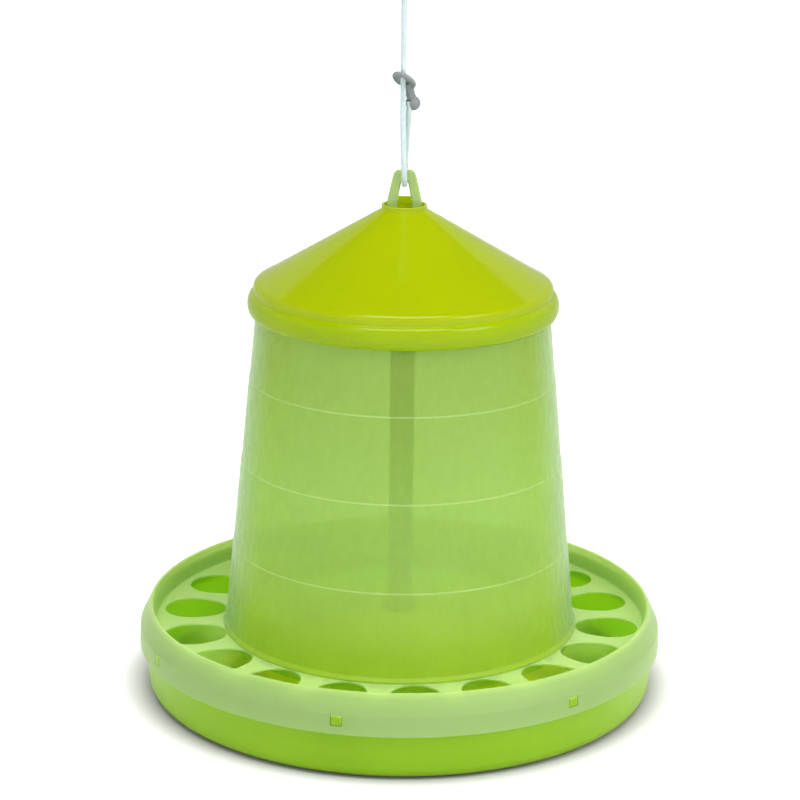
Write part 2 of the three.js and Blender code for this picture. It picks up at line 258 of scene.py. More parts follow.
def turn(piece, degrees):
    """Turns a mesh made at the front to an angle in plan."""
    piece.data.transform(Matrix.Rotation(math.radians(degrees), 4, "Z"))
    return piece


def gather(pieces):
    """Joins pieces that don't touch into the first of them."""
    work = bmesh.new()
    for p in pieces:
        work.from_mesh(p.data)
    work.to_mesh(pieces[0].data)
    work.free()
    for p in pieces[1:]:
        bpy.data.objects.remove(p)
    return pieces[0]


def shade(piece, sharp=40.0):
    """Smooth shading that keeps flat faces flat and hard edges hard."""
    piece.data.shade_smooth()
    piece.data.set_sharp_from_angle(angle=math.radians(sharp))
    even = piece.modifiers.new("even", "WEIGHTED_NORMAL")
    even.keep_sharp = True
    even.weight = 100
    final_mesh(piece)


# ---- materials ----
class Look:
    """A material's node tree, built step by step."""

    def __init__(self, name):
        self.material = bpy.data.materials.new(name)
        self.material.use_nodes = True
        self.tree = self.material.node_tree
        self.tree.nodes.clear()

    def node(self, kind, inputs=(), **settings):
        """A new node. Each of its inputs is linked to a socket or set to a value."""
        n = self.tree.nodes.new(kind)
        for key, value in settings.items():
            setattr(n, key, value)
        for key, value in dict(inputs).items():
            if isinstance(value, bpy.types.NodeSocket):
                self.tree.links.new(value, n.inputs[key])
            else:
                n.inputs[key].default_value = value
        return n

    def maths(self, operation, first, second=None):
        """The result of an operation on numbers."""
        given = {0: first} if second is None else {0: first, 1: second}
        return self.node("ShaderNodeMath", given, operation=operation).outputs[0]

    def vector(self, operation, first, second=None):
        """The result of a vector operation, which is a number for LENGTH and DOT_PRODUCT."""
        given = {0: first} if second is None else {0: first, 1: second}
        kind = "Value" if operation in ("LENGTH", "DOT_PRODUCT") else "Vector"
        return self.node("ShaderNodeVectorMath", given, operation=operation).outputs[kind]

    def place(self, scale=(1, 1, 1)):
        """The point's place in the object, in metres, times a scale along each axis."""
        at = self.node("ShaderNodeTexCoord").outputs["Object"]
        return self.node("ShaderNodeMapping", {"Vector": at, "Scale": scale}).outputs["Vector"]

    def height(self):
        """How high the point is."""
        return self.node("ShaderNodeSeparateXYZ", {0: self.place()}).outputs["Z"]

    def radius(self):
        """The distance from the object's upright axis."""
        return self.vector("LENGTH", self.place((1, 1, 0)))

    def noise(self, scale, detail=4.0, stretch=(1, 1, 1), distortion=0.0):
        """Cloudy noise round 0.5, finer with scale, and drawn out along an axis whose stretch is small."""
        given = {"Vector": self.place(stretch), "Scale": scale, "Detail": detail, "Distortion": distortion}
        return self.node("ShaderNodeTexNoise", given).outputs["Fac"]

    def span(self, value, low, high, to_low, to_high):
        """Runs from to_low to to_high as value runs from low to high, and stays there beyond them."""
        given = {"Value": value, "From Min": low, "From Max": high, "To Min": to_low, "To Max": to_high}
        return self.node("ShaderNodeMapRange", given).outputs["Result"]

    def fade(self, value, ends, to_low=0.0, to_high=1.0):
        """The same, where value is a length and its two ends are in millimetres."""
        return self.span(value, ends[0] * MM, ends[1] * MM, to_low, to_high)

    def blend(self, share, first, second):
        """A colour that is first where share is 0 and second where it is 1."""
        return self.node("ShaderNodeMix", {0: share, 6: first, 7: second}, data_type="RGBA").outputs[2]

    def mixed(self, share, first, second):
        """A shader that is first where share is 0 and second where it is 1."""
        given = {0: share, 1: first.outputs[0], 2: second.outputs[0]}
        return self.node("ShaderNodeMixShader", given)

    def bump(self, height, strength, distance, normal=None):
        """A normal that follows the height, on top of another bump's normal where one is given."""
        given = {"Height": height, "Strength": strength, "Distance": distance}
        if normal is not None:
            given["Normal"] = normal
        return self.node("ShaderNodeBump", given).outputs["Normal"]

    def finish(self, shader):
        """The finished material, with this shader on its surface."""
        self.node("ShaderNodeOutputMaterial", {"Surface": shader.outputs[0]})
        return self.material


def srgb(*screen):
    """A linear colour from a red, green and blue of 0 to 255 on the screen."""
    linear = [v / 255 / 12.92 if v <= 10 else ((v / 255 + 0.055) / 1.055) ** 2.4 for v in screen]
    return (*linear, 1.0)


def built(look, *values):
    """Values of a look, with those given as functions built in its node tree."""
    return [value(look) if callable(value) else value for value in values]


def wear(look, colour, pale, rough, grain):
    """What the mouldings share: cloudy colour, flow marks, fine grain and faint rubbing.

    Gives their colour, roughness and normal. Grain is the strength of the fine bumps.
    """
    cloud = look.noise(14, 3, distortion=0.6)
    flow = look.noise(60, 5, stretch=(1, 1, 0.12), distortion=0.3)
    rubbed = look.noise(210, 6, stretch=(1, 1, 0.35))
    tone = look.blend(look.span(cloud, 0.35, 0.65, 0.0, 0.5), colour, pale)
    tone = look.blend(look.span(flow, 0.4, 0.75, 0.0, 0.06), tone, pale)
    roughness = look.span(rubbed, 0.3, 0.75, rough - 0.03, rough + 0.06)
    normal = look.bump(look.noise(1500, 3), grain, 0.00012)
    normal = look.bump(flow, 0.004, 0.0008, normal)
    return tone, roughness, normal


def solid_plastic(name, colour, pale, rough, depth=0.0, grain=0.25):
    """Plastic that isn't see-through.

    Depth is the share of light that goes into the wall and comes out elsewhere. Colour and pale may be
    functions that build a colour in the look's node tree.
    """
    look = Look(name)
    colour, pale = built(look, colour, pale)
    tone, roughness, normal = wear(look, colour, pale, rough, grain)
    body = look.node("ShaderNodeBsdfPrincipled", {
        "Base Color": tone, "Roughness": roughness, "Normal": normal, "IOR": 1.49, "Specular IOR Level": 0.2,
        "Subsurface Weight": depth, "Subsurface Radius": (1.0, 1.0, 0.3), "Subsurface Scale": 0.01,
    })
    return look.finish(body)


def milky_plastic(name, colour, pale, rough, milk, clear, tint, deep, grain=0.25, painted_edge_reflection=None):
    """Plastic that scatters light through (milk) and lets some pass straight (clear).

    At a glancing angle less passes straight, its tint turns from tint to deep, as the way through is longer,
    and the scattered colour turns to a painted pale reflection, where one is given. Colour, pale and clear
    may be functions that build a value in the look's node tree.
    """
    look = Look(name)
    colour, pale, clear = built(look, colour, pale, clear)
    tone, roughness, normal = wear(look, colour, pale, rough, grain)
    facing = look.node("ShaderNodeLayerWeight", {"Blend": 0.5}).outputs["Facing"]
    # painted reflection: the colour turns pale towards glancing angles, standing in for the bright
    # surroundings
    if painted_edge_reflection:
        tone = look.blend(look.span(facing, 0.5, 0.85, 0.0, 1.0), tone, painted_edge_reflection)
    body = look.node("ShaderNodeBsdfPrincipled", {
        "Base Color": tone, "Roughness": roughness, "Normal": normal, "IOR": 1.49, "Specular IOR Level": 0.5,
    })
    through = look.node("ShaderNodeBsdfTranslucent", {"Color": tone, "Normal": normal})
    hue = look.blend(look.span(facing, 0.25, 0.85, 0.0, 1.0), tint, deep)
    straight = look.node("ShaderNodeBsdfTransparent", {"Color": hue})
    share = look.span(look.maths("POWER", facing, 3.0), 0.0, 1.0, clear, 0.0)
    return look.finish(look.mixed(share, look.mixed(milk, body, through), straight))


def cord_fibre():
    """A white cord's fibres, with a soft sheen."""
    look = Look("rope_fibre")
    strands = look.noise(900, 4, stretch=(1, 1, 0.25))
    tone = look.blend(look.span(strands, 0.3, 0.7, 0.0, 1.0), srgb(170, 188, 190), srgb(190, 204, 206))
    normal = look.bump(strands, 0.5, 0.0002)
    body = look.node("ShaderNodeBsdfPrincipled", {
        "Base Color": tone, "Roughness": look.span(strands, 0.3, 0.7, 0.62, 0.82), "Normal": normal,
        "Sheen Weight": 0.3, "Sheen Roughness": 0.5, "Subsurface Weight": 0.15, "Subsurface Scale": 0.002,
    })
    return look.finish(body)


def painted_shade_by_height(ends, under, over):
    """A colour in painted shade under a height and the plain colour over it: the rod's shaft under its
    handle, and the lid's bead under its cap.
    """
    return lambda look: look.blend(look.fade(look.height(), ends), under, over)


def tray_painted_light(cone, trough, outside):
    """Painted light on the tray: a brightly lit colour on the cone, a lit one in the trough and a shaded one
    on the wall's outer face.
    """
    def build(look):
        # painted light: the cone is painted brighter than the trough
        inside = look.blend(look.fade(look.radius(), CONE_FADE), cone, trough)
        outward = look.vector("NORMALIZE", look.place((1, 1, 0)))
        outward = look.vector("ADD", outward, (0, 0, -0.6))  # leans down, to leave out the rim
        normal = look.node("ShaderNodeNewGeometry").outputs["Normal"]
        faces_out = look.vector("DOT_PRODUCT", outward, normal)
        # painted shade: faces that look outward and down take the darker outside colour
        return look.blend(look.span(faces_out, 0.3, 0.5, 0.0, 1.0), inside, outside)
    return build


def grille_painted_light(flat, band):
    """Painted light on the grille: a lit colour on its flat and a shaded one on the outer face of its band
    and skirt.
    """
    # painted light on the flat, painted shade on the band and skirt's outer face
    return lambda look: look.blend(look.fade(look.radius(), BAND_FADE), flat, band)


def step_highlight(look):
    """The painted highlight on the hopper: at its full strength along the edge of each step and 0 elsewhere.
    """
    highlight_share = 0.0
    for z, _ in BANDS[1:-1]:
        off = look.maths("ABSOLUTE", look.maths("SUBTRACT", look.height(), z * MM))
        highlight_share = look.maths("ADD", highlight_share, look.fade(off, STEP_HIGHLIGHT_FADE, STEP_HIGHLIGHT, 0.0))
    return highlight_share


def hopper_painted_light(foot, middle, mouth):
    """Painted light on the hopper: a colour that runs from a lit foot through its middle to a shaded mouth
    under the lid, with a painted highlight along its steps.
    """
    def build(look):
        # painted light: lit towards the foot, shaded towards the mouth under the lid
        lower = look.blend(look.fade(look.height(), FOOT_FADE), foot, middle)
        tone = look.blend(look.fade(look.height(), MOUTH_FADE), lower, mouth)
        # painted highlight: the edges of the steps are painted pale
        return look.blend(step_highlight(look), tone, srgb(228, 244, 190))
    return build


def hopper_clear(look):
    """How much passes straight through the hopper: more near its mouth, and less along the painted highlight
    at the edge of each step.
    """
    clear = look.fade(look.height(), CLEAR_FADE, 0.55, 0.62)
    # less passes straight where the steps' painted highlight lies
    kept = look.span(step_highlight(look), 0.0, 1.0, 1.0, 0.7)
    return look.maths("MULTIPLY", clear, kept)


# The tray is one moulding: its cone is painted brightly lit, its trough lit and its outer face shaded.
TRAY = solid_plastic(
    "tray_plastic", tray_painted_light(srgb(226, 240, 40), srgb(166, 214, 84), srgb(124, 164, 12)),
    tray_painted_light(srgb(232, 244, 52), srgb(176, 220, 96), srgb(136, 174, 22)), rough=0.33, depth=1.0)
# The grille is one moulding: its flat is painted lighter and its band and skirt painted in shade.
GRILLE = milky_plastic(
    "grille_plastic", grille_painted_light(srgb(218, 242, 158), srgb(184, 210, 140)),
    grille_painted_light(srgb(226, 246, 172), srgb(192, 216, 152)), rough=0.34,
    milk=0.3, clear=0.46, tint=srgb(228, 243, 180), deep=srgb(214, 232, 140))
# The hopper is one moulding: its foot is painted lit, its mouth painted shaded under the lid, and its steps
# carry a painted highlight.
HOPPER = milky_plastic(
    "hopper_plastic", hopper_painted_light(srgb(228, 248, 92), srgb(208, 236, 132), srgb(198, 216, 112)),
    hopper_painted_light(srgb(234, 250, 106), srgb(214, 240, 146), srgb(204, 221, 126)), rough=0.26,
    milk=0.5, clear=hopper_clear, tint=srgb(220, 234, 208), deep=srgb(206, 226, 120), grain=0.06,
    painted_edge_reflection=srgb(214, 232, 206))
# The lid's bead is painted a deeper green below BEAD_FADE, as painted shade where the hopper's rim lies
# behind it.
LID = milky_plastic(
    "lid_plastic", painted_shade_by_height(BEAD_FADE, srgb(190, 212, 0), srgb(200, 211, 0)),
    painted_shade_by_height(BEAD_FADE, srgb(197, 216, 0), srgb(206, 215, 0)), rough=0.07,
    milk=0.55, clear=0.2, tint=srgb(215, 235, 80), deep=srgb(190, 215, 20), grain=0.12)
# The rod is one pale moulding: its shaft is painted a darker green below HANDLE_FADE, as painted shade inside
# the hopper.
ROD = milky_plastic(
    "rod_plastic", painted_shade_by_height(HANDLE_FADE, srgb(86, 180, 42), srgb(174, 200, 124)),
    painted_shade_by_height(HANDLE_FADE, srgb(98, 188, 54), srgb(184, 208, 140)), rough=0.36,
    milk=0.35, clear=0.1, tint=srgb(215, 240, 160), deep=srgb(200, 230, 120))
RUNNER = solid_plastic("runner_plastic", srgb(120, 125, 127), srgb(134, 138, 140), rough=0.42, grain=0.5)
CORD = cord_fibre()


def done(piece, material, slot_name, body, *nodes):
    """Gives a finished piece its material, its body and the CAD nodes it stands for. Its slot_name is not
    used.
    """
    piece.data.materials.clear()
    piece.data.materials.append(material)
    if body:
        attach(piece, body)
    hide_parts(*nodes)
    return piece


# ---- cord, whose route repeats the frame's ----
def between(first, second, start, end, at):
    """The value at a place on the straight run from first at start to second at end."""
    return ((end - at) * first + (at - start) * second) / (end - start)


def smooth_line(points, spacing=SPACING):
    """A centripetal Catmull-Rom curve through the points, sampled evenly."""
    p = [np.array(q, float) for q in points]
    p = [2 * p[0] - p[1]] + p + [2 * p[-1] - p[-2]]
    fine = []
    for i in range(1, len(p) - 2):
        t = [0.0]
        for k in range(3):
            t.append(t[-1] + np.linalg.norm(p[i + k] - p[i + k - 1]) ** 0.5)
        for s in np.linspace(t[1], t[2], 24, endpoint=False):
            a = [between(p[i + k - 1], p[i + k], t[k], t[k + 1], s) for k in range(3)]
            b = [between(a[k], a[k + 1], t[k], t[k + 2], s) for k in range(2)]
            fine.append(between(b[0], b[1], t[1], t[2], s))
    fine = np.array(fine + [p[-2]])
    along = np.concatenate([[0], np.cumsum(np.linalg.norm(np.diff(fine, axis=0), axis=1))])
    at = np.linspace(0, along[-1], max(4, int(along[-1] / spacing)))
    return np.stack([np.interp(at, along, fine[:, k]) for k in range(3)], 1)


def braid(name, line, radius=CORD_D / 2, sides=28):
    """A braided cord's tube along a line: two sets of strands that cross over and under."""
    tangents = np.gradient(line, axis=0)
    tangents /= np.linalg.norm(tangents, axis=1)[:, None]
    across = np.cross(tangents[0], (0.3, 1, 0.2))
    points, faces, run = [], [], 0.0
    for i, (centre, t) in enumerate(zip(line, tangents)):
        across = across - across.dot(t) * t
        across /= np.linalg.norm(across)
        over = np.cross(t, across)
        run += 0 if i == 0 else np.linalg.norm(line[i] - line[i - 1])
        from_end = min(run, (len(line) - 1 - i) * SPACING)
        taper = END_SHARE + (1 - END_SHARE) * math.sqrt(min(from_end / END_LENGTH, 1.0))
        for k in range(sides):
            a = 2 * math.pi * k / sides
            one, two = STRANDS * (a + run * SLANT), STRANDS * (a - run * SLANT)
            top = 0.5 + 0.5 * math.tanh(2.5 * math.sin(one) * math.sin(two))
            lift = top * abs(math.cos(one)) ** 0.6 + (1 - top) * abs(math.cos(two)) ** 0.6
            r = taper * (radius - SUNK + RISE * lift)
            points.append(centre + r * (math.cos(a) * across + math.sin(a) * over))
    for i in range(len(line) - 1):
        for k in range(sides):
            m = (k + 1) % sides
            faces.append((i * sides + k, i * sides + m, (i + 1) * sides + m, (i + 1) * sides + k))
    last = (len(line) - 1) * sides
    faces += [tuple(range(sides))[::-1], tuple(range(last, last + sides))]
    piece = made(name, points, faces)
    piece.data.shade_smooth()
    piece.data.set_sharp_from_angle(angle=math.radians(60))
    return piece


def main_route():
    """Under the crown from behind, up the long strand, through the knot and round the top loop."""
    centre = EYE_Z - 0.6 - CORD_D / 2 + BEND_R
    angles = [math.radians(30 * i) for i in range(7)]
    bend = [(0.2 - 0.1 * i, BEND_R * math.cos(a), centre - BEND_R * math.sin(a))
            for i, a in enumerate(angles)]
    x, y = STRAND
    rising = [(-0.6, -7.9, 384), (-0.9, -6.9, 391), (-1.3, -5.1, 401), (-1.6, -3.2, 411), (x, -2.2, 419),
              (x, y, 425), (x, y, 450), (x, y, 475), (x, y, 495), (x, y, KNOT_Z - KNOT_HALF + 2)]
    foot = [(2.0, LOOP_FOOT - 2), (3.0, LOOP_FOOT + 5), (6.8, LOOP_FOOT + 13), (10.4, LOOP_FOOT + 23)]
    crown = arc(0, LOOP_FOOT + 31, LOOP_R, 0, 180, 6)
    loop = foot + crown + [(-r, z) for r, z in reversed(foot)]
    return [(0.4, 7.9, 384), *bend, *rising, *[(x + r, y, z) for r, z in loop]]


TAIL = [(0.4, 7.85, 384.3), (0.6, 7.4, 391), (1.1, 6.2, 400), (1.7, 4.4, 409), (2.2, 2.6, 417),
        (*SHORT_STRAND, 422), (*SHORT_STRAND, 428.2)]


def wraps(name, at, radius, half, turns, thick, lean):
    """A tight knot: turns of a cord of radius thick side by side, with both ends tucked in."""
    steps = int(turns * 16)
    x, y, z = at
    route = [(x - 0.2 * radius, y - 0.3, z - half + thick * 1.4)]
    for i in range(steps + 1):
        a = 2 * math.pi * turns * i / steps
        rise = (2 * i / steps - 1) * (half - thick) + lean * math.cos(a)
        route.append((x + (radius - thick) * math.cos(a), y + (radius - thick) * math.sin(a), z + rise))
    route.append((x + 0.2 * radius, y + 0.3, z + half - thick * 1.4))
    return braid(name, smooth_line(route, 0.4), thick, sides=20)


main_line, tail_line = smooth_line(main_route()), smooth_line(TAIL)
cord_main = done(braid("cord_main", main_line), CORD, "rope_fibre", "hanger", "rope", "rope_loop")
top_knot = wraps("cord_top_knot", (*STRAND, KNOT_Z), KNOT_R, KNOT_HALF, turns=3, thick=CORD_D / 2, lean=0.9)
done(top_knot, CORD, "rope_fibre", "hanger", "rope_top_knot")
cord_tail = done(braid("cord_tail", tail_line), CORD, "rope_fibre", None, "rope_tail")
end_knot = wraps("cord_end_knot", END_KNOT_AT, END_KNOT_R, END_KNOT_HALF, turns=1.6, thick=1.7, lean=0.4)
done(end_knot, CORD, "rope_fibre", "runner", "rope_end_knot")
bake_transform(cord_tail)


# ---- runner ----
def aimed(piece, at, along):
    """Stands an upright piece at a point, turned along a direction."""
    tilt = Vector((0, 0, 1)).rotation_difference(along).to_matrix().to_4x4()
    piece.data.transform(Matrix.Translation(at * MM) @ tilt)
    return piece


def runner():
    """A guy-line runner: a tilted disc, a neck and a bulb run into one another, bored for the two strands."""
    dish = [(DISC_R - 0.7, DISC_HALF / 2), (DISC_R - 2.1, 0.5), (0, 0.5)]
    profile = [(0, -DISC_HALF), *arc(DISC_R, 0, DISC_HALF, -90, 75, 8), *dish]
    disc = aimed(lathe("runner_grey", profile, SMALL), DISC_AT, DISC_LEAN)
    bulb = lathe("bulb", [(0, -BULB_R), *arc(0, 0, BULB_R, -80, 80, 14), (0, BULB_R)], SMALL)
    bulb.data.transform(Matrix.Translation(BULB_AT * MM))
    down = BULB_AT - NECK_AT
    waist = [(0, 0), (4.6, 0), (3.6, 3), (3.2, 7), (3.4, 11), (4.2, down.length), (0, down.length)]
    combine(disc, bulb, "UNION")
    combine(disc, aimed(lathe("neck", waist, SMALL), NECK_AT, down.normalized()), "UNION")
    even = disc.modifiers.new("even", "REMESH")
    even.mode, even.voxel_size = "VOXEL", 0.32 * MM
    soft = disc.modifiers.new("soft", "SMOOTH")
    soft.factor, soft.iterations = 0.5, 10
    final_mesh(disc)
    for at, top in ((STRAND, BORE_TOP), (SHORT_STRAND, SHORT_BORE_TOP)):
        bore = lathe("bore", [(0, BORE_LOW), (BORE_R, BORE_LOW), (BORE_R, top), (0, top)], 32)
        bore.data.transform(Matrix.Translation(Vector((*at, 0)) * MM))
        combine(disc, bore, "DIFFERENCE")
    shade(disc, 50)
    return disc


runner_piece = done(runner(), RUNNER, "runner_plastic", "runner", "rope_runner")


# ---- feed tray ----
def box_outline(x, low_y, high_y, corner=0.0):
    """A rectangle in plan, from -x to x, with its corners rounded."""
    return rounded([(-x, low_y, corner), (x, low_y, corner), (x, high_y, corner), (-x, high_y, corner)])


def at_lugs(name, half, inner, outer, low, high, corner=0.0, bevel=0.0):
    """A block at each lug's place, all in one mesh: the lugs, or the windows that they stand in."""
    right = [(half, -outer, corner), (half, -inner, 0)]
    outline = rounded([(-x, y, r) for x, y, r in reversed(right)] + right)
    angles = [LUG_PHASE + 360 / LUG_COUNT * i for i in range(LUG_COUNT)]
    return gather([turn(prism(name, outline, low, high, bevel), angle) for angle in angles])


def feed_tray():
    """The trough, with its cone, the keyhole in the cone's top and the lugs on its side."""
    profile = rounded([
        (KEYHOLE_R, CONE_TOP, 0.6), (CONE_TOP_R, CONE_TOP, 3), (CONE_FOOT_R, TRAY_WALL, 18),
        (TRAY_FLOOR_R, TRAY_WALL, 7.5), (TRAY_R, TRAY_SIDE, 14), (TRAY_RIM_R, TRAY_RIM, 0.9),
        (TRAY_RIM_R + 2.3, TRAY_RIM, 0.9), (TRAY_R + TRAY_WALL, TRAY_SIDE, 14), (TRAY_R, 0, 10),
        (CONE_FOOT_R - 2, 0, 6), (CONE_TOP_R - 1, CONE_TOP - TRAY_WALL, 2),
        (KEYHOLE_R, CONE_TOP - TRAY_WALL, 0.6),
    ], 8)
    tray = lathe("tray_trough", profile)
    slot = box_outline(KEYHOLE_REACH, -KEYHOLE_HALF, KEYHOLE_HALF, 1.2)
    combine(tray, prism("slot", slot, CONE_TOP - 7, CONE_TOP + 3), "DIFFERENCE")
    inner = TRAY_R + 0.2  # in the tray's side
    lugs = at_lugs("lug", LUG_WIDTH / 2, inner, LUG_REACH, LUG_LOW, LUG_HIGH, corner=1.3, bevel=0.8)
    combine(tray, lugs, "UNION")
    shade(tray)
    return tray


done(feed_tray(), TRAY, "tray_plastic", "base", "feed_tray")


# ---- feeding grille ----
def hole_outline(number, grow):
    """One head hole's outline in plan: the hull of two circles on a radius, made larger by grow."""
    reach = math.degrees(math.acos((NEAR_R - FAR_R) / (FAR - NEAR)))
    outline = arc(FAR, 0, FAR_R + grow, -reach, reach, 22)
    outline += arc(NEAR, 0, NEAR_R + grow, reach, 360 - reach, 14)
    a = math.radians(HOLE_PHASE + 360 / HOLES * number)
    return [(r * math.sin(a) + s * math.cos(a), -r * math.cos(a) + s * math.sin(a)) for r, s in outline]


def annulus_faces(points, rings, outer, inner):
    """Triangles between the outer and inner circles that leave out the holes, as indices into points."""
    loops = [outer, inner, *rings]
    index = [i for loop in loops for i in loop]
    flat, edges, start = [Vector(points[i][:2]) for i in index], [], 0
    for loop in loops:
        edges += [(start + k, start + (k + 1) % len(loop)) for k in range(len(loop))]
        start += len(loop)
    _, _, triangles, _, _, _ = delaunay_2d_cdt(flat, edges, [], 0, 1e-6)
    kept = []
    for t in triangles:
        middle = sum((flat[i] for i in t), Vector((0, 0))) / len(t)
        if SEAT_R < middle.length < ANNULUS_R and not in_hole(middle):
            kept.append(tuple(index[i] for i in t))
    return kept


def in_hole(point):
    """True where a point in plan lies in a head hole or on its rounded edge."""
    step = 360 / HOLES
    angle = (math.degrees(math.atan2(point.x, -point.y)) - HOLE_PHASE + step / 2) % step - step / 2
    r, s = point.length * math.cos(math.radians(angle)), point.length * math.sin(math.radians(angle))
    for k in range(21):  # circles on the way from the near to the far one
        at, radius = NEAR + (FAR - NEAR) * k / 20, NEAR_R + (FAR_R - NEAR_R) * k / 20
        if math.hypot(r - at, s) < radius + HOLE_EDGE:
            return True
    return False


def feed_grille():
    """The ring: a band and an inner edge, the flat between them with its holes, and the lugs' windows."""
    band = rounded([
        (ANNULUS_R, ANNULUS_TOP, 0), (ANNULUS_R + 2, ANNULUS_TOP, 1.8), (CREST_R - 1, CREST_Z, 1.0),
        (CREST_R + 1, CREST_Z, 1.0), (SKIRT_R - 0.65, SKIRT_LEDGE, 1.6), (SKIRT_R, SKIRT_BOTTOM, 0.8),
        (SKIRT_R - 2.1, SKIRT_BOTTOM, 0.8), (SKIRT_R - 2.9, SKIRT_LEDGE - 0.3, 1.2),
        (CREST_R + 0.6, CREST_Z - 4.2, 1.0), (CREST_R - 0.6, ANNULUS_UNDER, 1.5),
        (ANNULUS_R, ANNULUS_UNDER, 0),
    ], 6)
    seat = rounded([(SEAT_R + 1, ANNULUS_TOP, 0), (SEAT_R, ANNULUS_TOP, 0.6), (SEAT_R, ANNULUS_UNDER, 0.6),
                    (SEAT_R + 1, ANNULUS_UNDER, 0)], 4)
    points, faces = [], []
    outer_top, outer_under = sweep(points, faces, band)
    inner_top, inner_under = sweep(points, faces, seat)
    edge = arc(HOLE_EDGE, HOLE_EDGE, HOLE_EDGE, 180, 270, 4)  # as (depth from the face, how much wider)
    levels = [(grow, ANNULUS_TOP - depth) for depth, grow in edge]
    levels += [(grow, ANNULUS_UNDER + depth) for depth, grow in reversed(edge)]
    tops, unders = [], []
    for number in range(HOLES):
        rings = []
        for grow, z in levels:
            outline = hole_outline(number, grow)
            rings.append(list(range(len(points), len(points) + len(outline))))
            points.extend((x, y, z) for x, y in outline)
        for upper, lower in zip(rings, rings[1:]):
            n = len(upper)
            faces.extend((upper[k], upper[(k + 1) % n], lower[(k + 1) % n], lower[k]) for k in range(n))
        tops.append(rings[0])
        unders.append(rings[-1])
    faces.extend(annulus_faces(points, tops, outer_top, inner_top))
    faces.extend(annulus_faces(points, unders, outer_under, inner_under))
    grille = made("grille_ring", points, faces)
    windows = at_lugs("window", LUG_WIDTH / 2 + LUG_ROOM, SKIRT_R - 4.8, SKIRT_R + 3, LUG_LOW - LUG_ROOM,
                      LUG_HIGH + LUG_ROOM)
    combine(grille, windows, "DIFFERENCE")
    shade(grille)
    return grille


done(feed_grille(), GRILLE, "grille_plastic", "base", "feed_grille")


# ---- hopper ----
def hopper():
    """The tapered tube, from the spigot in the grille through its bands to its rim, and back down inside."""
    (foot_z, foot_r), *steps, (top_z, top_r) = BANDS
    outside = [(foot_r, foot_z, 2)]
    for z, r in steps:
        outside += [(r, z - 0.45, 0.25), (r - 0.1, z, 0.25), (r - STEP, z + 0.5, 0.2)]
    outside.append((top_r, top_z - 0.45, 0.25))
    inside = [(r - HOPPER_WALL - 0.25, z, 0.5) for z, r in reversed(BANDS)]
    profile = rounded([
        (SPIGOT_R, SPIGOT_FOOT, 0.5), (SPIGOT_R, SPIGOT_FLANGE, 0), (SPIGOT_FLANGE_R, SPIGOT_FLANGE, 0.3),
        (SPIGOT_FLANGE_R, SPIGOT_FLANGE + 1.2, 0.6), *outside, (RIM_R, RIM_LOW, 0.8), (RIM_R, RIM_TOP, 0.8),
        (MOUTH_R, RIM_TOP, 0.8), *inside, (SPIGOT_R - 2.1, SPIGOT_FOOT, 0.5),
    ], 4)
    shell = lathe("hopper_shell", profile)
    shade(shell, 30)
    return shell


done(hopper(), HOPPER, "hopper_plastic", "hopper", "hopper")


# ---- lid ----
def lid():
    """The cone with its shoulder, its bead and its collar, and the tab on the collar."""
    bead = [(r, z, 0) for r, z in arc(BEAD_R, BEAD_Z, BEAD_OUT, -70, 70, 14, BEAD_HALF)]
    outside = [
        (LID_EDGE_R, LID_EDGE, 0.4), *bead, (BEAD_R, BEAD_TOP, 0.8), (SHOULDER_R, SHOULDER, 7),
        (CONE_EDGE_R, CONE_EDGE, 6), (COLLAR_R + 1.2, COLLAR_FOOT, 0.9), (COLLAR_R, COLLAR_FOOT + 1, 0.5),
        (COLLAR_R, COLLAR_TOP, 0.8),
    ]
    inside = [
        (COLLAR_HOLE_R, COLLAR_TOP, 0.7), (COLLAR_HOLE_R, COLLAR_FOOT - 1.2, 0.8),
        (CONE_EDGE_R - 0.7, CONE_EDGE - 2.3, 5), (SHOULDER_R - 1.9, SHOULDER - 2, 3),
        (OVER_RIM_R, OVER_RIM, 1), (GROOVE_R, GROOVE_TOP, 1), (GROOVE_R, GROOVE_LOW, 1),
        (LID_EDGE_R, LID_EDGE + 2.1, 0.5),
    ]
    cap = lathe("lid_cap", rounded(outside + inside, 6))
    tab = box_outline(TAB_HALF, COLLAR_HOLE_R - 0.5, COLLAR_HOLE_R + 1.5, 0.5)
    combine(cap, prism("tab", tab, TAB_LOW, TAB_TOP, 0.4), "UNION")
    shade(cap, 32)
    return cap


done(lid(), LID, "lid_plastic", "lid", "lid")


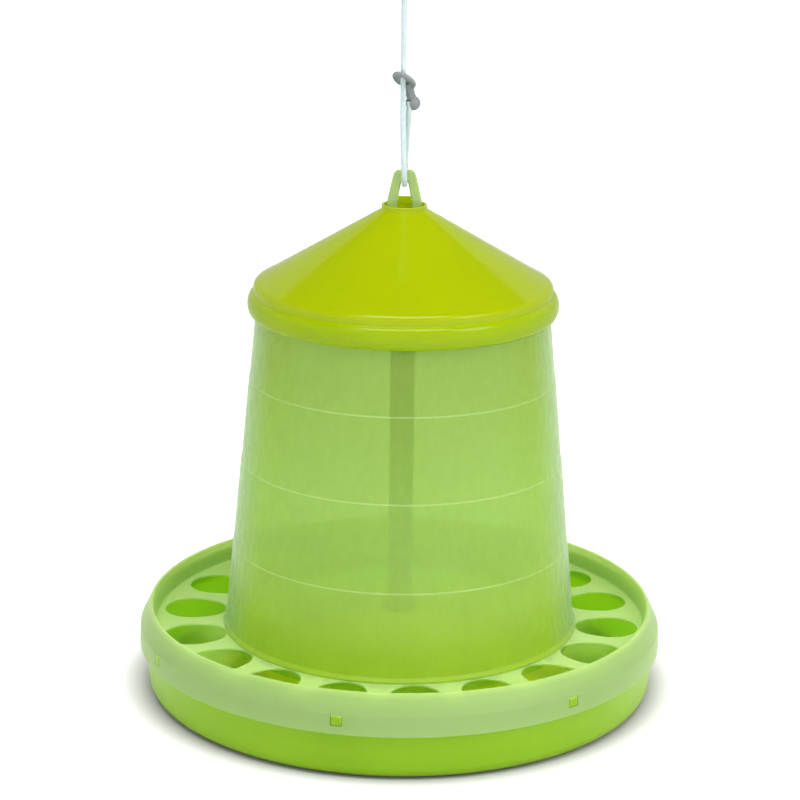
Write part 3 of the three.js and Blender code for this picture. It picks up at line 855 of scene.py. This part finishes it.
# ---- hanger rod ----
def handle():
    """The loop handle: a plate with rounded edges, tapering to its crown, with the rope's eye in it."""
    right = [(ROD_HALF, ROD_TOP - 9, 0), (ROD_HALF, ROD_TOP - 5, 3), (HANDLE_HALF, ROD_TOP, 3),
             (HANDLE_HALF, HANDLE_BEND, 14), (CROWN_HALF, CROWN_LOW, 6), (CROWN_TOP_HALF, CROWN_TOP, 5)]
    outline = rounded(right + [(-x, z, r) for x, z, r in reversed(right)], 8)
    eye_right = [(EYE_HALF, EYE_LOW, 1.5), (EYE_HALF, HANDLE_BEND, 10), (EYE_TOP_HALF, EYE_Z, 2.2)]
    eye = rounded(eye_right + [(-x, z, r) for x, z, r in reversed(eye_right)], 8)
    flat = bpy.data.curves.new("plate", "CURVE")
    flat.dimensions, flat.fill_mode = "2D", "BOTH"
    for loop in (outline, eye):
        spline = flat.splines.new("POLY")
        spline.points.add(len(loop) - 1)
        for point, (x, z) in zip(spline.points, loop):
            point.co = (x * MM, z * MM, 0, 1)
        spline.use_cyclic_u = True
    flat.bevel_depth, flat.bevel_resolution, flat.offset = HANDLE_EDGE * MM, 4, -HANDLE_EDGE * MM
    flat.extrude = (HANDLE_THICK / 2 - HANDLE_EDGE) * MM
    holder = bpy.data.objects.new("plate", flat)
    scene.collection.objects.link(holder)
    mesh = shown_mesh(holder)
    bpy.data.objects.remove(holder)
    mesh.transform(Matrix.Rotation(math.radians(90), 4, "X"))
    points = [v.co / MM for v in mesh.vertices]
    return made("plate", points, [tuple(p.vertices) for p in mesh.polygons])


def post(name, radius, low, top, round_low, round_top):
    """A short upright post with its edges rounded."""
    profile = rounded([(0, low, 0), (radius, low, round_low), (radius, top, round_top), (0, top, 0)])
    return lathe(name, profile, SMALL)


def hanger_rod():
    """The cross-shaped rod with its handle, its flange and the foot that turns in the keyhole."""
    corner = [(ROD_HALF, -ROD_RIB, 0.5), (ROD_HALF, ROD_RIB, 0.5), (ROD_RIB, ROD_RIB, 1.0)]
    cross = []
    for quarter in range(4):
        c, s = round(math.cos(math.pi / 2 * quarter)), round(math.sin(math.pi / 2 * quarter))
        cross += [(x * c - y * s, x * s + y * c, r) for x, y, r in corner]
    rod = prism("rod_handle", rounded(cross, 4), ROD_FOOT, ROD_TOP)
    combine(rod, handle(), "UNION")
    combine(rod, post("flange", FLANGE_R, FLANGE_LOW, FLANGE_TOP, 0.8, 0.8), "UNION")
    combine(rod, post("neck", NECK_R, NECK_LOW, FLANGE_LOW + 0.7, 0.5, 0), "UNION")
    foot = box_outline(FOOT_HALF, -FOOT_REACH, FOOT_REACH, 1)
    combine(rod, prism("foot", foot, FOOT_LOW, FOOT_TOP, 0.6), "UNION")
    shade(rod, 45)
    return rod


done(hanger_rod(), ROD, "rod_plastic", "hanger", "hanger_rod", "hanger_handle")


# ---- floor, sky and lights ----
AIM = Vector((0, 0, 0.2))  # where the lamps point, in metres


def grey(value):
    """A linear grey."""
    return (value, value, value, 1)


def floor_plastic():
    """A pale floor that glows faintly, more so far away, with a painted soft shadow, grey and without glow,
    where the tray stands.
    """
    look = Look("floor")
    away = look.vector("LENGTH", look.place())
    # painted contact shadow: the floor turns grey and stops glowing this close to the middle
    touch = look.span(away, 0.18, 0.21, 0.0, 1.0)
    tone = look.blend(look.noise(3, 2), grey(0.86), grey(0.88))
    glow = look.blend(look.span(away, 0.8, 2.8, 0.0, 1.0), grey(0.27), grey(0.66))
    return look.finish(look.node("ShaderNodeBsdfPrincipled", {
        "Base Color": look.blend(touch, (0.5, 0.49, 0.5, 1), tone), "Roughness": 0.9,
        "Emission Color": (1, 1, 1, 1), "Emission Strength": look.blend(touch, (0, 0, 0, 1), glow),
    }))


def studio_floor():
    """A wide disc just under the feeder."""
    mesh = bpy.data.meshes.new("floor")
    work = bmesh.new()
    bmesh.ops.create_circle(work, cap_ends=True, radius=14, segments=64)
    work.to_mesh(mesh)
    work.free()
    mesh.materials.append(floor_plastic())
    floor = bpy.data.objects.new("floor", mesh)
    floor.location.z = -0.0003
    scene.collection.objects.link(floor)


def studio_sky():
    """White round the sides and dim overhead."""
    world = bpy.data.worlds.new("sky")
    world.use_nodes = True
    scene.world = world
    nodes, links = world.node_tree.nodes, world.node_tree.links
    split = nodes.new("ShaderNodeSeparateXYZ")
    links.new(nodes.new("ShaderNodeTexCoord").outputs["Generated"], split.inputs[0])
    ramp = nodes.new("ShaderNodeMapRange")
    ramp.interpolation_type = "SMOOTHSTEP"
    for key, value in {"From Min": 0.54, "From Max": 0.6, "To Min": 1.0, "To Max": 0.15}.items():
        ramp.inputs[key].default_value = value
    links.new(split.outputs["Z"], ramp.inputs["Value"])
    background = nodes["Background"]
    background.inputs["Color"].default_value = (1, 1, 1, 1)
    links.new(ramp.outputs[0], background.inputs["Strength"])


def softbox(name, at, size, power):
    """An area light that points at the feeder's middle, in metres and watts."""
    lamp = bpy.data.objects.new(name, bpy.data.lights.new(name, "AREA"))
    lamp.data.shape, lamp.data.size, lamp.data.size_y = "RECTANGLE", *size
    lamp.data.energy = power
    lamp.location = at
    lamp.rotation_euler = (AIM - Vector(at)).to_track_quat("-Z", "Y").to_euler()
    scene.collection.objects.link(lamp)


studio_floor()
studio_sky()
softbox("key", (-1.5, -1.7, 2.3), (1.2, 1.2), 6)
softbox("fill", (1.9, -1.2, 1.9), (1.2, 1.2), 27)
softbox("top", (0, -0.9, 2.9), (2.2, 1.6), 82)
